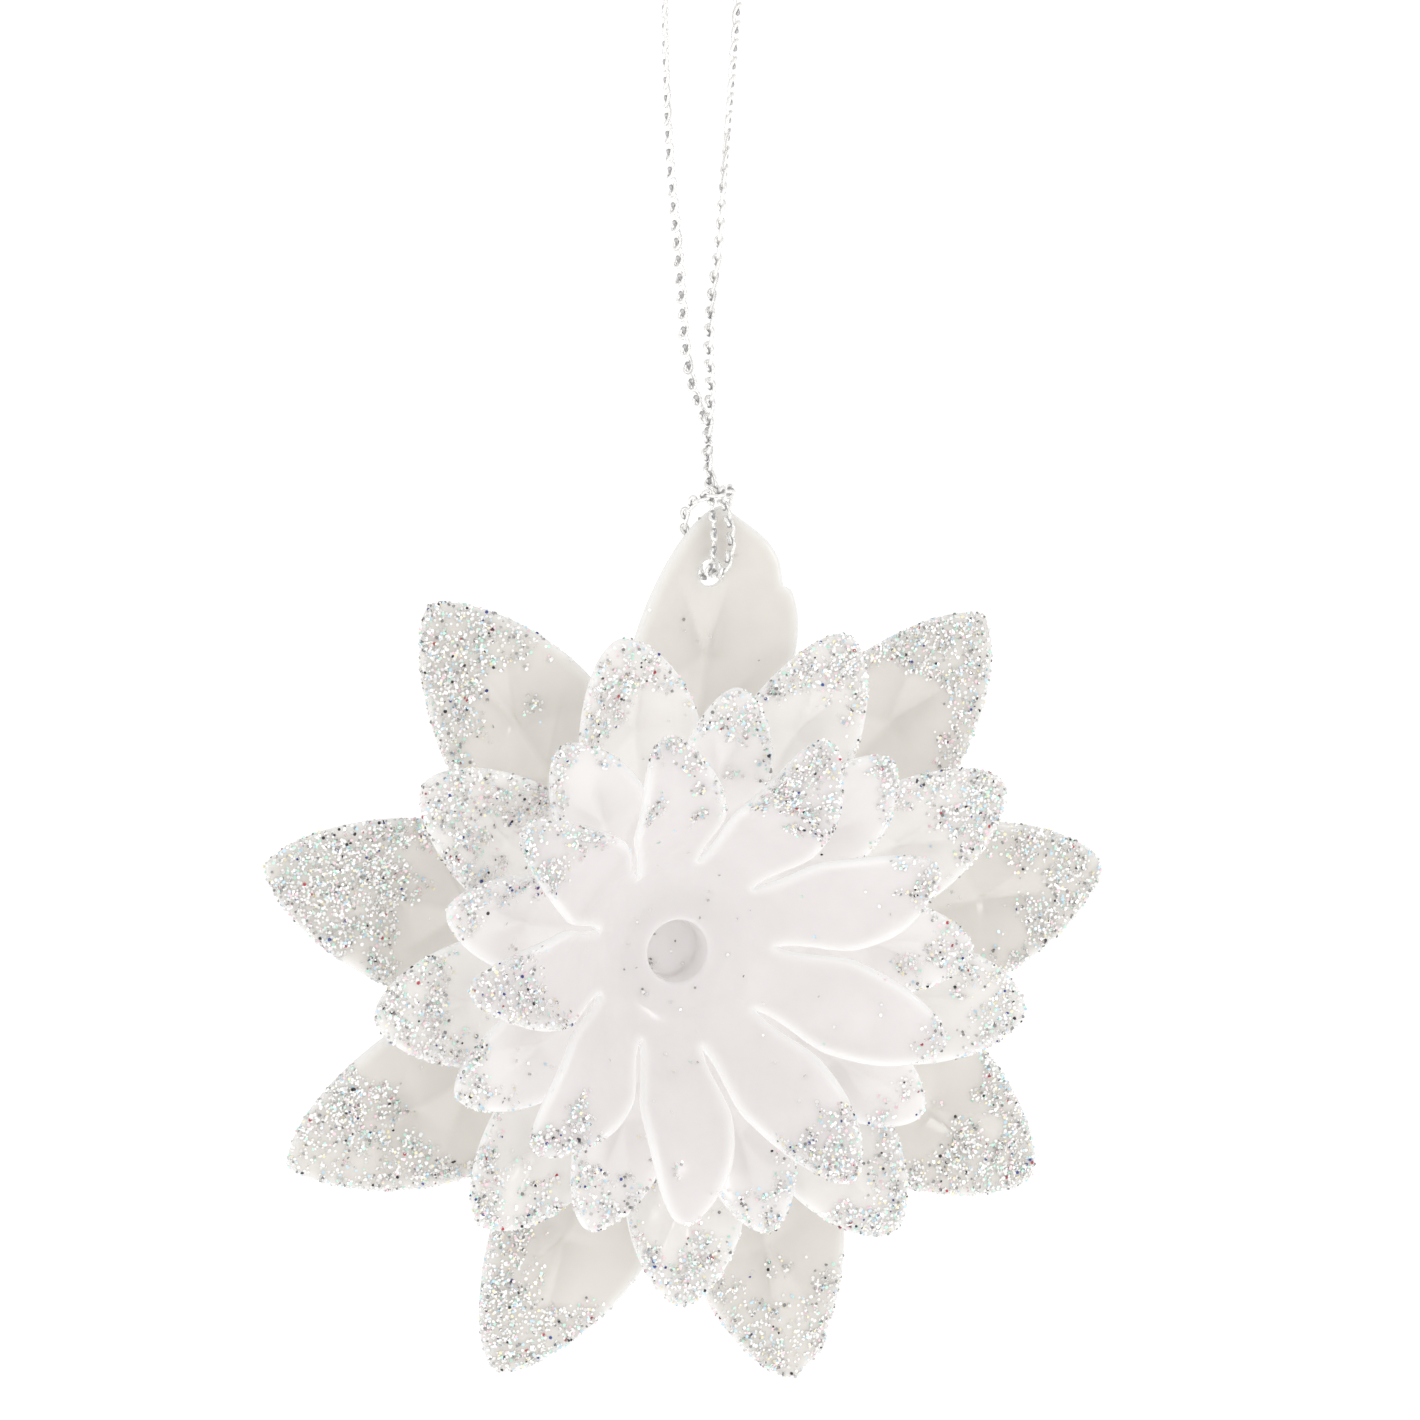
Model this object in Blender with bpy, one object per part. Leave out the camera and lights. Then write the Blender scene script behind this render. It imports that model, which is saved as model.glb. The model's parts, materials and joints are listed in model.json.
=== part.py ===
"""Layered plastic flower ornament, about 100 mm across, hanging from a loop of metallic cord.

Four moulded whorls of nine petals are threaded on a hollow peg, which is part of the front
moulding and is closed by a push-on cap at the back. A cord loop is hitched through a hole in
the topmost petal of the back whorl, and its ends are tied in a knot above.

The flower faces -Y. The origin is the hanging point, under the knot of the loop. All driving
dimensions are in millimetres and are scaled to metres where the meshes are made.
"""
import math

import bmesh
import bpy
from mathutils import Vector

MM = 0.001

# Flower as a whole
FLOWER_CENTRE = (-3.0, -0.92, -124.0)  # middle of the ring of the back whorl's tips
PETALS = 9
PITCH_DEG = 360 / PETALS
SHEET = 1.0  # wall of every moulding
GAP = 0.3  # clearance between neighbouring pieces
HUB_FACE = -1.2  # front face of the foremost hub, measured forward from the back tips
HUB_FLAT = 10.0  # radius where the flat hub turns up into the petals

# Whorls from the back to the front. tip: radius of the tip circle. lift: height of the tips
# forward of the back whorl's tips. phase: direction of petal 0, anticlockwise from +X seen from
# the front. notch: radius where neighbouring petals part. broad: radius of the widest place.
# half: half width there. cup: how far the sides of a petal curl forward. arch: how much the
# petals bulge forward between hub and tip. open, taper, blunt: the outline's curves inside and
# outside the widest place.
# lean: how far each petal's tip strays sideways, in degrees. reach: how far it strays outwards.
WHORLS = {
    "back_petal_tier": dict(
        tip=50.0, lift=0.0, phase=86.0, notch=24.0, broad=32.0, half=9.5, cup=0.9,
        arch=3.0, taper=1.6, blunt=0.68, open=1.2,
        lean=(-1.0, -0.8, 1.7, 0.0, -0.9, -1.5, -1.8, -0.9, -0.2),
        reach=(-0.5, 0.2, 0.0, -0.1, 0.5, 0.2, -0.5, -0.8, -0.6),
    ),
    "second_petal_tier": dict(
        tip=38.3, lift=7.5, phase=106.0, notch=18.5, broad=25.0, half=7.2, cup=0.9,
        arch=1.0, taper=1.8, blunt=0.6, open=1.0,
        lean=(-1.0, -1.0, 1.5, 2.5, -0.5, 0.0, 0.0, -1.0, -0.5),
        reach=(-0.5, 1.0, 1.0, 0.0, 0.0, -0.5, -1.0, -0.5, 0.5),
    ),
    "third_petal_tier": dict(
        tip=30.9, lift=8.5, phase=123.5, notch=13.5, broad=21.0, half=5.4, cup=0.8,
        arch=1.0, taper=1.8, blunt=0.6, open=1.0,
        lean=(0.0, 0.0, 2.0, -3.0, 0.5, 0.0, 0.0, -0.5, 1.0),
        reach=(-0.5, 0.0, -0.5, 0.0, 0.0, 0.0, 0.5, 0.5, 0.0),
    ),
    "front_petal_tier": dict(
        tip=27.8, lift=12.0, phase=141.0, notch=10.8, broad=16.5, half=5.3, cup=1.0,
        arch=1.4, taper=1.4, blunt=0.52, open=1.1,
        lean=(1.0, 2.0, 2.0, 0.5, -1.0, 2.0, 0.5, -0.5, -1.0),
        reach=(0.5, -0.8, 0.0, -0.5, 0.2, 0.8, 0.0, 0.0, 0.5),
    ),
}
COLUMNS = 4  # facets across a petal
ROWS = (0.25, 0.5, 0.72, 0.88, 0.97)  # places along a petal, between its notch and its tip

# Peg of the front moulding, and the cap pushed on its end
RECESS_RADIUS = 3.5
RECESS_DEPTH = 3.5
PEG_RADIUS = 4.5
PEG_END = -8.4
PEG_FLOOR = 1.2
CAP_FLANGE_RADIUS = 8.5
CAP_FLANGE = 1.0
CAP_RADIUS = 6.0
CAP_END = 1.5

# Hole for the cord in petal 0 of the back whorl
HOLE_RADIUS = 1.5
HOLE_AT = 42.4  # distance from the flower's axis
HOLE_BESIDE_DEG = 1.3  # how far the hole sits beside its petal's middle line, anticlockwise
HOLE_SIDES = 24

# Cord
CORD_RADIUS = 0.55
CORD_SIDES_STEP = 2  # bevel resolution: eight sides
LEG_STEP = 2.75
HITCH_STEP = 0.95
TWIST_Z = -66.65  # where the two legs come together and the flower twists
SWING_Z = -69.4  # where the doubled cord bends above its hitch
NECK_HALF_GAP = 0.5
KNOT_CENTRE = (0.0, 0.0, 1.75)
KNOT_RADII = (1.9, 1.5, 1.7)
LEG_LEFT = [
    (-0.70, 0, -66.5), (-1.30, 0, -62.0), (-2.05, 0, -57.6), (-2.65, 0, -52.0), (-3.10, 0, -46.7),
    (-3.65, 0, -41.0), (-4.10, 0, -35.5), (-4.40, 0, -28.0), (-4.55, 0, -20.3), (-4.40, 0, -12.5),
    (-3.60, 0, -6.5), (-2.35, 0, -2.6), (-1.15, 0, -0.55),
]
LEG_RIGHT = [
    (0.70, 0, -66.5), (0.35, 0, -62.0), (0.15, 0, -57.6), (0.75, 0, -52.0), (1.55, 0, -46.8),
    (2.10, 0, -40.0), (2.85, 0, -31.0), (3.35, 0, -25.5), (3.75, 0, -20.5), (4.05, 0, -12.5),
    (3.50, 0, -6.5), (2.35, 0, -2.6), (1.15, 0, -0.55),
]
TAIL_LEFT = [(-0.55, 0.0, 3.75), (-0.95, -0.1, 5.2), (-1.55, -0.2, 6.6), (-2.35, -0.2, 7.7)]
TAIL_RIGHT = [(0.75, 0.0, 3.7), (1.05, 0.1, 5.0), (1.35, 0.2, 6.3), (1.45, 0.3, 7.6)]
HITCH = [
    (-0.70, 0.00, -69.90), (-0.66, -0.60, -71.40), (-0.50, -1.65, -73.20), (-0.40, -2.74, -75.11),
    (-0.57, -3.35, -77.31), (-0.79, -3.69, -79.54), (-0.96, -3.77, -81.04), (-1.06, -3.31, -82.03),
    (-1.07, -2.64, -82.13), (-1.12, -1.67, -81.70), (-1.46, -0.88, -80.57), (-2.25, -0.41, -78.89),
    (-2.98, -0.11, -77.22), (-3.19, -0.49, -75.66), (-2.78, -1.39, -74.38), (-1.65, -2.75, -73.40),
    (0.35, -3.40, -73.00), (2.25, -2.75, -73.00), (3.10, -1.40, -73.20), (3.30, 0.05, -74.00),
    (2.76, 0.41, -75.66), (1.87, -0.11, -77.96), (0.99, -0.76, -80.20), (0.48, -1.54, -81.61),
    (0.38, -2.64, -82.13), (0.39, -3.31, -82.03), (0.49, -3.77, -81.04), (0.61, -3.69, -79.54),
    (0.81, -3.35, -77.31), (1.00, -2.74, -75.11), (0.88, -1.65, -73.20), (0.74, -0.60, -71.40),
    (0.70, 0.00, -69.90),
]


def clear_scene():
    for obj in list(bpy.data.objects):
        bpy.data.objects.remove(obj, do_unlink=True)


def material(name, colour, roughness, metallic=0.0):
    mat = bpy.data.materials.new(name)
    mat.use_nodes = True
    shader = mat.node_tree.nodes["Principled BSDF"]
    shader.inputs["Base Color"].default_value = (*colour, 1.0)
    shader.inputs["Roughness"].default_value = roughness
    shader.inputs["Metallic"].default_value = metallic
    return mat


def empty(name, place, parent=None):
    pivot = bpy.data.objects.new(name, None)
    pivot.empty_display_size = 0.005
    bpy.context.collection.objects.link(pivot)
    hang(pivot, place, parent)
    return pivot


def hang(obj, place, parent):
    """Puts obj at a world place, in millimetres, as a child of an unrotated, unscaled parent."""
    obj.parent = parent
    corner = parent_place(parent)
    obj.location = [p * MM - c for p, c in zip(place, corner)]


def parent_place(parent):
    place = Vector((0, 0, 0))
    while parent is not None:
        place += parent.location
        parent = parent.parent
    return place


def solid(name, bm, place, mat, parent, smooth_deg=35):
    """Turns a closed bmesh, in metres around its own origin, into a named object."""
    bmesh.ops.recalc_face_normals(bm, faces=bm.faces[:])
    mesh = bpy.data.meshes.new(name)
    bm.to_mesh(mesh)
    bm.free()
    mesh.shade_smooth()
    mesh.set_sharp_from_angle(angle=math.radians(smooth_deg))
    obj = bpy.data.objects.new(name, mesh)
    bpy.context.collection.objects.link(obj)
    hang(obj, place, parent)
    obj.data.materials.append(mat)
    return obj


def smooth_step(t):
    t = min(max(t, 0.0), 1.0)
    return t * t * (3 - 2 * t)


def hub_height(index):
    """Middle of the wall of a whorl's flat hub. The hubs lie on each other from the front back."""
    from_front = len(WHORLS) - 1 - index
    return HUB_FACE - SHEET / 2 - from_front * (SHEET + GAP)


def sheet_height(w, hub, radius, across):
    """Height of the middle of the wall at a radius, across running from -1 to 1 over a petal."""
    along = max(0.0, (radius - HUB_FLAT) / (w["tip"] - HUB_FLAT))
    cup = w["cup"] * across * across * smooth_step(along * 1.6) * (1 - smooth_step(along * 2 - 1))
    return hub + (w["lift"] - hub) * along * (1 + w["arch"] * (1 - along)) + cup


def half_width(w, radius):
    """Half the width of a petal at a radius: a chord at the notch, widest at broad, round tip."""
    chord = w["notch"] * math.sin(math.radians(PITCH_DEG / 2))
    if radius <= w["broad"]:
        opening = (radius - w["notch"]) / (w["broad"] - w["notch"])
        return chord + (w["half"] - chord) * smooth_step(opening ** w["open"])
    to_tip = (radius - w["broad"]) / (w["tip"] - w["broad"])
    return w["half"] * (1 - to_tip ** w["taper"]) ** w["blunt"]


def petal_angle(w, petal, along):
    """Direction of a petal's middle line, which strays from its place towards the tip."""
    return math.radians(w["phase"] - petal * PITCH_DEG + w["lean"][petal] * smooth_step(along))


def petal_point(w, hub, petal, along, across, side):
    """A point on the front (side 1) or back (side -1) of a petal, beyond its notch."""
    radius = w["notch"] + (w["tip"] - w["notch"]) * along
    sideways = -across * (half_width(w, radius) if along < 1 else 0.0)
    bow = w["notch"] * (1 - math.cos(math.radians(across * PITCH_DEG / 2))) * (1 - along) ** 2
    outward = radius - bow + w["reach"][petal] * along * along
    angle = petal_angle(w, petal, along)
    x = outward * math.cos(angle) - sideways * math.sin(angle)
    z = outward * math.sin(angle) + sideways * math.cos(angle)
    height = sheet_height(w, hub, radius, across) + side * SHEET / 2
    return Vector((x, -height, z)) * MM


def hub_ring(bm, w, radius, height):
    """A ring with one vertex for each column of each petal, turning clockwise from petal 0."""
    ring = []
    for step in range(PETALS * COLUMNS):
        angle = math.radians(w["phase"] + PITCH_DEG / 2 - step * PITCH_DEG / COLUMNS)
        place = Vector((radius * math.cos(angle), -height, radius * math.sin(angle)))
        ring.append(bm.verts.new(place * MM))
    return ring


def join_rings(bm, first, second):
    count = len(first)
    for i in range(count):
        j = (i + 1) % count
        bm.faces.new((first[i], first[j], second[j], second[i]))


def close_ring(bm, ring, height):
    middle = bm.verts.new(Vector((0, -height, 0)) * MM)
    for i, vertex in enumerate(ring):
        bm.faces.new((vertex, ring[(i + 1) % len(ring)], middle))


def petal_side(bm, w, hub, side, notch_ring):
    """All petals of one side of a whorl. Returns each petal's rim, from notch to tip to notch."""
    rims = []
    for petal in range(PETALS):
        start = petal * COLUMNS
        row = [notch_ring[(start + c) % len(notch_ring)] for c in range(COLUMNS + 1)]
        left, right = [row[0]], [row[-1]]
        for along in ROWS:
            places = [2 * c / COLUMNS - 1 for c in range(COLUMNS + 1)]
            points = [petal_point(w, hub, petal, along, a, side) for a in places]
            above = [bm.verts.new(p) for p in points]
            for c in range(COLUMNS):
                bm.faces.new((row[c], row[c + 1], above[c + 1], above[c]))
            row = above
            left.append(row[0])
            right.append(row[-1])
        tip = bm.verts.new(petal_point(w, hub, petal, 1.0, 0.0, side))
        for c in range(COLUMNS):
            bm.faces.new((row[c], row[c + 1], tip))
        rims.append(left + [tip] + right[::-1])
    return rims


def whorl_mesh(index, w, bore):
    """One moulding: a flat hub and nine petals. bore None leaves the hub's inner rings open."""
    bm = bmesh.new()
    hub = hub_height(index)
    inner = {}
    rims = {}
    for side in (1, -1):
        radius = bore or (RECESS_RADIUS if side == 1 else PEG_RADIUS)
        rings = [hub_ring(bm, w, radius, hub + side * SHEET / 2)]
        for at in (HUB_FLAT, w["notch"]):
            middle = sheet_height(w, hub, at, 0.0)
            rings.append(hub_ring(bm, w, at, middle + side * SHEET / 2))
            join_rings(bm, rings[-2], rings[-1])
        inner[side] = rings[0]
        rims[side] = petal_side(bm, w, hub, side, rings[-1])
    for front, back in zip(rims[1], rims[-1]):
        for i in range(len(front) - 1):
            bm.faces.new((front[i], front[i + 1], back[i + 1], back[i]))
    return bm, inner


def bored_whorl(name, index, mat, parent):
    w = WHORLS[name]
    bm, inner = whorl_mesh(index, w, PEG_RADIUS + GAP)
    join_rings(bm, inner[1], inner[-1])
    return solid(name, bm, FLOWER_CENTRE, mat, parent)


def front_whorl(name, index, mat, parent):
    """The foremost moulding, whose hub runs back into a peg that is hollow from both ends."""
    w = WHORLS[name]
    bm, inner = whorl_mesh(index, w, None)
    floor = HUB_FACE - RECESS_DEPTH
    recess = hub_ring(bm, w, RECESS_RADIUS, floor)
    join_rings(bm, inner[1], recess)
    close_ring(bm, recess, floor)
    outside = hub_ring(bm, w, PEG_RADIUS, PEG_END)
    mouth = hub_ring(bm, w, RECESS_RADIUS, PEG_END)
    back_floor = hub_ring(bm, w, RECESS_RADIUS, floor - PEG_FLOOR)
    join_rings(bm, inner[-1], outside)
    join_rings(bm, outside, mouth)
    join_rings(bm, mouth, back_floor)
    close_ring(bm, back_floor, floor - PEG_FLOOR)
    return solid(name, bm, FLOWER_CENTRE, mat, parent)


def peg_cap(mat, parent):
    """A flanged cup that grips the end of the peg behind the back whorl."""
    w = WHORLS["back_petal_tier"]
    flange_front = hub_height(0) - SHEET / 2 - GAP
    flange_back = flange_front - CAP_FLANGE
    end = PEG_END - GAP - CAP_END
    bore = PEG_RADIUS + GAP
    profile = [
        (bore, PEG_END - GAP), (bore, flange_front), (CAP_FLANGE_RADIUS, flange_front),
        (CAP_FLANGE_RADIUS, flange_back), (CAP_RADIUS, flange_back), (CAP_RADIUS, end),
    ]
    bm = bmesh.new()
    rings = [hub_ring(bm, w, radius, height) for radius, height in profile]
    for first, second in zip(rings, rings[1:]):
        join_rings(bm, first, second)
    close_ring(bm, rings[0], profile[0][1])
    close_ring(bm, rings[-1], end)
    return solid("peg_cap", bm, FLOWER_CENTRE, mat, parent)


def cut_cord_hole(tier):
    """Cuts the round hole for the cord through petal 0, along the flower's axis."""
    w = WHORLS["back_petal_tier"]
    angle = math.radians(w["phase"] + w["lean"][0] + HOLE_BESIDE_DEG)
    bpy.ops.mesh.primitive_cylinder_add(vertices=HOLE_SIDES, radius=HOLE_RADIUS * MM, depth=0.01)
    cutter = bpy.context.object
    cutter.name = "cord_hole_cutter"
    cutter.rotation_euler = (math.radians(90), 0, 0)
    x, y, z = FLOWER_CENTRE
    place = (x + HOLE_AT * math.cos(angle), y, z + HOLE_AT * math.sin(angle))
    hang(cutter, place, None)
    cutter.hide_render = True
    cutter.display_type = "WIRE"
    cut = tier.modifiers.new("cord hole", "BOOLEAN")
    cut.operation = "DIFFERENCE"
    cut.solver = "EXACT"
    cut.object = cutter


def smooth_route(points, step):
    """Points about one step apart along a centripetal Catmull-Rom curve through points."""
    knots = [Vector(p) for p in points]
    knots = [knots[0] * 2 - knots[1], *knots, knots[-1] * 2 - knots[-2]]
    fine = []
    for a, b, c, d in zip(knots, knots[1:], knots[2:], knots[3:]):
        t1 = (b - a).length ** 0.5
        t2 = t1 + (c - b).length ** 0.5
        t3 = t2 + (d - c).length ** 0.5
        for i in range(24):
            t = t1 + (t2 - t1) * i / 24
            ab = a.lerp(b, t / t1)
            bc = b.lerp(c, (t - t1) / (t2 - t1))
            cd = c.lerp(d, (t - t2) / (t3 - t2))
            abc = ab.lerp(bc, t / t2)
            bcd = bc.lerp(cd, (t - t1) / (t3 - t1))
            fine.append(abc.lerp(bcd, (t - t1) / (t2 - t1)))
    fine.append(knots[-2])
    return evenly(fine, step)


def evenly(fine, step):
    lengths = [0.0]
    for a, b in zip(fine, fine[1:]):
        lengths.append(lengths[-1] + (b - a).length)
    count = max(2, round(lengths[-1] / step))
    even, i = [], 0
    for n in range(count + 1):
        at = lengths[-1] * n / count
        while i < len(fine) - 2 and lengths[i + 1] < at:
            i += 1
        share = (at - lengths[i]) / max(lengths[i + 1] - lengths[i], 1e-9)
        even.append(fine[i].lerp(fine[i + 1], share))
    return even


def cord(name, route, step, origin, mat, parent):
    """A round tube along a route given in world millimetres."""
    points = smooth_route(route, step)
    curve = bpy.data.curves.new(name, "CURVE")
    curve.dimensions = "3D"
    curve.bevel_depth = CORD_RADIUS * MM
    curve.bevel_resolution = CORD_SIDES_STEP
    curve.use_fill_caps = True
    spline = curve.splines.new("POLY")
    spline.points.add(len(points) - 1)
    for slot, point in zip(spline.points, points):
        slot.co = (*((point - Vector(origin)) * MM), 1.0)
    curve.materials.append(mat)
    obj = bpy.data.objects.new(name, curve)
    bpy.context.collection.objects.link(obj)
    hang(obj, origin, parent)
    return obj


def cord_neck(mat, parent):
    """The short stretch where both legs lie side by side: a stadium section run downwards."""
    top = TWIST_Z - GAP / 2
    bottom = SWING_Z + NECK_HALF_GAP
    apart = LEG_RIGHT[0][0]
    bm = bmesh.new()
    rings = []
    for z in (top, bottom):
        ring = []
        for side in (1, -1):
            for i in range(5):
                angle = math.radians(-90 + 45 * i)
                x = side * (apart + CORD_RADIUS * math.cos(angle))
                y = side * CORD_RADIUS * math.sin(angle)
                ring.append(bm.verts.new(Vector((x, y, z - TWIST_Z)) * MM))
        rings.append(ring)
    join_rings(bm, rings[0], rings[1])
    bm.faces.new(rings[0])
    bm.faces.new(rings[1][::-1])
    return solid("cord_neck", bm, (0, 0, TWIST_Z), mat, parent)


def cord_knot(mat, parent):
    """The overhand knot that ties the two ends of the loop, as a plain lump of its size."""
    bm = bmesh.new()
    bmesh.ops.create_uvsphere(bm, u_segments=16, v_segments=10, radius=MM)
    bmesh.ops.scale(bm, vec=KNOT_RADII, verts=bm.verts[:])
    return solid("cord_knot", bm, KNOT_CENTRE, mat, parent)


def build():
    clear_scene()
    plastic = material("frosted plastic", (0.80, 0.80, 0.79), 0.42)
    cap_plastic = material("cap plastic", (0.76, 0.76, 0.75), 0.45)
    metallic = material("metallic cord", (0.62, 0.62, 0.63), 0.32, metallic=0.85)

    loop = empty("loop_mount", (0, 0, 0))
    twist = empty("cord_twist_axis", (0, 0, TWIST_Z), loop)
    swing = empty("flower_swing_axis", (0, 0, SWING_Z), twist)

    names = list(WHORLS)
    back = bored_whorl(names[0], 0, plastic, swing)
    cut_cord_hole(back)
    bored_whorl(names[1], 1, plastic, swing)
    bored_whorl(names[2], 2, plastic, swing)
    front_whorl(names[3], 3, plastic, swing)
    peg_cap(cap_plastic, swing)

    cord("cord_leg_left", LEG_LEFT, LEG_STEP, (0, 0, 0), metallic, loop)
    cord("cord_leg_right", LEG_RIGHT, LEG_STEP, (0, 0, 0), metallic, loop)
    cord("cord_tail_left", TAIL_LEFT, 1.5, (0, 0, 0), metallic, loop)
    cord("cord_tail_right", TAIL_RIGHT, 1.5, (0, 0, 0), metallic, loop)
    cord_knot(metallic, loop)
    cord_neck(metallic, twist)
    cord("cord_hitch", HITCH, HITCH_STEP, (0, 0, SWING_Z), metallic, swing)


build()
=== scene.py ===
"""Looks of a layered plastic flower with glitter on its petals, hung from a loop of metallic cord.

Sizes are in millimetres, and are turned into metres when a mesh is made. Petals, peg and cap are
worked out in the flower's own coordinates: x to the right, height towards the front and z up,
from the joint axis of its whorls. Cord routes are in the frame's coordinates.
"""
import json
import math

import bpy
import numpy as np
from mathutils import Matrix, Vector


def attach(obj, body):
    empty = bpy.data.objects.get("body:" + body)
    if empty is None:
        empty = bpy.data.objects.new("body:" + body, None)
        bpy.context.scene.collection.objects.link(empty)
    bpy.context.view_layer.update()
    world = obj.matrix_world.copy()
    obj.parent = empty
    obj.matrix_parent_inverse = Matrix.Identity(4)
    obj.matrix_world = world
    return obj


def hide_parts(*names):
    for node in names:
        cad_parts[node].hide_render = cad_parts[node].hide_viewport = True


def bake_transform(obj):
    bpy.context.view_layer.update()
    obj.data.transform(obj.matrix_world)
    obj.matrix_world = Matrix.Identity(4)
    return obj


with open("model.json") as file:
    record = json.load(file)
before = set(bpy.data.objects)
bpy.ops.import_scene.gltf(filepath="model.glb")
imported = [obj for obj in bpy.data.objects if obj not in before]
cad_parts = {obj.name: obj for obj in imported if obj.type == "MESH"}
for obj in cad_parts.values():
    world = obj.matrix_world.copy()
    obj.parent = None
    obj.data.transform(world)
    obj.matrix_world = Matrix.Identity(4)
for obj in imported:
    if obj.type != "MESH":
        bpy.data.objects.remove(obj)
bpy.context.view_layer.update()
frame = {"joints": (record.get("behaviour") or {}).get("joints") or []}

MM = 0.001
JOINTS = {joint["name"]: joint for joint in frame["joints"]}
CENTRE = Vector(JOINTS["front_whorl_turn"]["pos_m"]) / MM
SEED = 7

# Flower
PETALS = 9
PITCH_DEG = 360 / PETALS
SHEET = 1.0
GAP = 0.3
HUB_FACE = -1.2
HUB_FLAT = 10.0
HUB_EASE = 4.0  # how far from that radius the hub's face is eased into the petals
RECESS_RADIUS = 3.5
RECESS_DEPTH = 3.5
RECESS_DRAFT = 0.15  # how much narrower the recess is at its bottom
RECESS_RIM = 0.9  # the flat ring about the recess
PEG_RADIUS = 4.5
PEG_END = -8.4
PEG_FLOOR = 1.2
CAP_FLANGE_RADIUS = 8.5
CAP_FLANGE = 1.0
CAP_RADIUS = 6.0
CAP_END = 1.5
HOLE_RADIUS = 1.5
HOLE_AT = 42.4
HOLE_BESIDE_DEG = 1.3  # the hole's place beside its petal's middle line

# Whorls from the back to the front. The rows above body are the CAD's own measures. lip: how far
# a petal's edges turn up. fold: depth of the crease along a petal's middle. vein: depth of its
# side veins. rows, columns: the mesh's fineness. The last two: how light the plastic is, and its
# colour. That lightness is partly painted light: the whorls are made lighter or darker than each
# other for the light that their stack sends back.
WHORLS = {
    "back_petal_tier": dict(
        tip=50.0, lift=0.0, phase=86.0, notch=24.0, broad=32.0, half=9.5, cup=0.9,
        arch=3.0, taper=1.6, blunt=0.68, open=1.2,
        lean=(-1.0, -0.8, 1.7, 0.0, -0.9, -1.5, -1.8, -0.9, -0.2),
        reach=(-0.5, 0.2, 0.0, -0.1, 0.5, 0.2, -0.5, -0.8, -0.6),
        body="back_whorl", lip=0.0, fold=0.90, vein=0.60, rows=78, columns=18, tint_and_painted_light=0.665,
        hue=(1.0, 0.974, 0.930),
    ),
    "second_petal_tier": dict(
        tip=38.3, lift=7.5, phase=106.0, notch=18.5, broad=25.0, half=7.2, cup=0.9,
        arch=1.0, taper=1.8, blunt=0.6, open=1.0,
        lean=(-1.0, -1.0, 1.5, 2.5, -0.5, 0.0, 0.0, -1.0, -0.5),
        reach=(-0.5, 1.0, 1.0, 0.0, 0.0, -0.5, -1.0, -0.5, 0.5),
        body="second_whorl", lip=0.15, fold=0.55, vein=0.42, rows=62, columns=15, tint_and_painted_light=0.76,
        hue=(1.0, 0.972, 0.945),
    ),
    "third_petal_tier": dict(
        tip=30.9, lift=8.5, phase=123.5, notch=13.5, broad=21.0, half=5.4, cup=0.8,
        arch=1.0, taper=1.8, blunt=0.6, open=1.0,
        lean=(0.0, 0.0, 2.0, -3.0, 0.5, 0.0, 0.0, -0.5, 1.0),
        reach=(-0.5, 0.0, -0.5, 0.0, 0.0, 0.0, 0.5, 0.5, 0.0),
        body="third_whorl", lip=0.35, fold=0.40, vein=0.30, rows=58, columns=13, tint_and_painted_light=0.77,
        hue=(1.0, 0.968, 0.962),
    ),
    "front_petal_tier": dict(
        tip=27.8, lift=12.0, phase=141.0, notch=10.8, broad=16.5, half=5.3, cup=1.0,
        arch=1.4, taper=1.4, blunt=0.52, open=1.1,
        lean=(1.0, 2.0, 2.0, 0.5, -1.0, 2.0, 0.5, -0.5, -1.0),
        reach=(0.5, -0.8, 0.0, -0.5, 0.2, 0.8, 0.0, 0.0, 0.5),
        body="front_whorl", lip=0.55, fold=0.0, vein=0.0, rows=56, columns=12, tint_and_painted_light=0.685,
        hue=(1.0, 0.967, 0.970),
    ),
}
CAP_TINT = 0.72
CAP_HUE = (1.0, 0.974, 0.945)
EDGE_COLUMNS = (0.0, 0.004, 0.014, 0.030, 0.055)  # extra columns along a petal's sides
ROUND = 0.45  # how far in from its edge a petal has its full thickness
# painted highlight: near its edges a petal is painted whiter, as if its rim caught the light
RIM_HIGHLIGHT = 1.4  # how far in from its edge a petal looks whiter
BITE_LOW, BITE_HIGH = 41.4, 44.2  # where the bite in the top petal's side begins and ends
BITE_DEPTH = 0.9
SWELLING = 1.5  # how much wider the top petal is on its right side
BURR_START, BURR_LENGTH = 46.3, 2.6
BURR_HEIGHT = 1.1
TURNED_SIDES = 96
FAR = 99.0  # an edge distance that stands for no edge nearby
SHARP_DEG = 40  # faces that meet at more than this keep a sharp edge

# Glitter
FLAKES_PER_MM2 = 10.0
STRAY_PER_MM2 = 0.02
FLAKE_RADII = (0.11, 0.22)
FLAKE_THICK = 0.03
FLAKE_TILT = 0.28
GLITTER_GROUP = 3  # petals whose flakes share one object
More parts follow.
